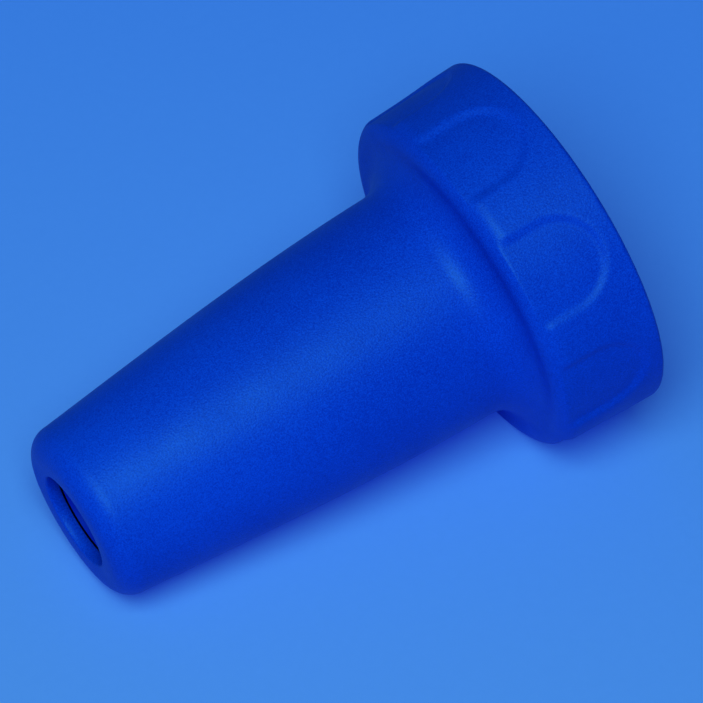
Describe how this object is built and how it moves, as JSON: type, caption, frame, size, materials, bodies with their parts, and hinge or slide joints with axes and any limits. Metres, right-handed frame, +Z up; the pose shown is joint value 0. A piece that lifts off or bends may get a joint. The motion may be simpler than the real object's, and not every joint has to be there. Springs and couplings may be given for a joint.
{
  "type": "pipette filler nosepiece",
  "caption": "Screw-on nose cone of a pipette filler, with its silicone pipette holder, ball check valve and membrane filter inside.",
  "frame": {"origin": "centre of the collar's open end, on the axis", "axes": "X along the axis, the mouth towards -X and the threaded collar opening towards +X; +Z up, through the middle of a finger recess"},
  "size_m": [0.0626, 0.042, 0.042],
  "materials": {
    "cone_plastic": "matte moulded, fine grain",
    "dark_silicone": "matte, deep blue",
    "clear_plastic": "natural, slightly milky",
    "ball_plastic": "polished, off-white",
    "grid_plastic": "satin",
    "membrane": "matte, microporous",
    "band_plastic": "satin"
  },
  "bodies": {
    "cone": {"nose_cone": "cone_plastic"},
    "gasket": {"collar_gasket": "dark_silicone"},
    "holder": {"pipette_holder": "dark_silicone"},
    "valve": {"valve_body": "clear_plastic", "valve_seat": "dark_silicone", "valve_cap": "clear_plastic"},
    "ball": {"valve_ball": "ball_plastic"},
    "filter": {"filter_inlet_shell": "clear_plastic", "inlet_grid": "grid_plastic", "filter_membrane": "membrane", "outlet_grid": "grid_plastic", "filter_outlet_shell": "clear_plastic", "filter_band": "band_plastic"}
  },
  "joints": [
    {"name": "gasket_out", "type": "slide", "parent": "cone", "child": "gasket", "axis": [1, 0, 0], "range_m": [0, 0.016]},
    {"name": "holder_out", "type": "slide", "parent": "cone", "child": "holder", "axis": [1, 0, 0], "range_m": [0, 0.068]},
    {"name": "valve_out", "type": "slide", "parent": "holder", "child": "valve", "axis": [1, 0, 0], "range_m": [0, 0.042]},
    {"name": "filter_out", "type": "slide", "parent": "valve", "child": "filter", "axis": [1, 0, 0], "range_m": [0, 0.032]},
    {"name": "ball_lift", "type": "slide", "parent": "valve", "child": "ball", "axis": [1, 0, 0], "range_m": [0, 0.0017]}
  ]
}
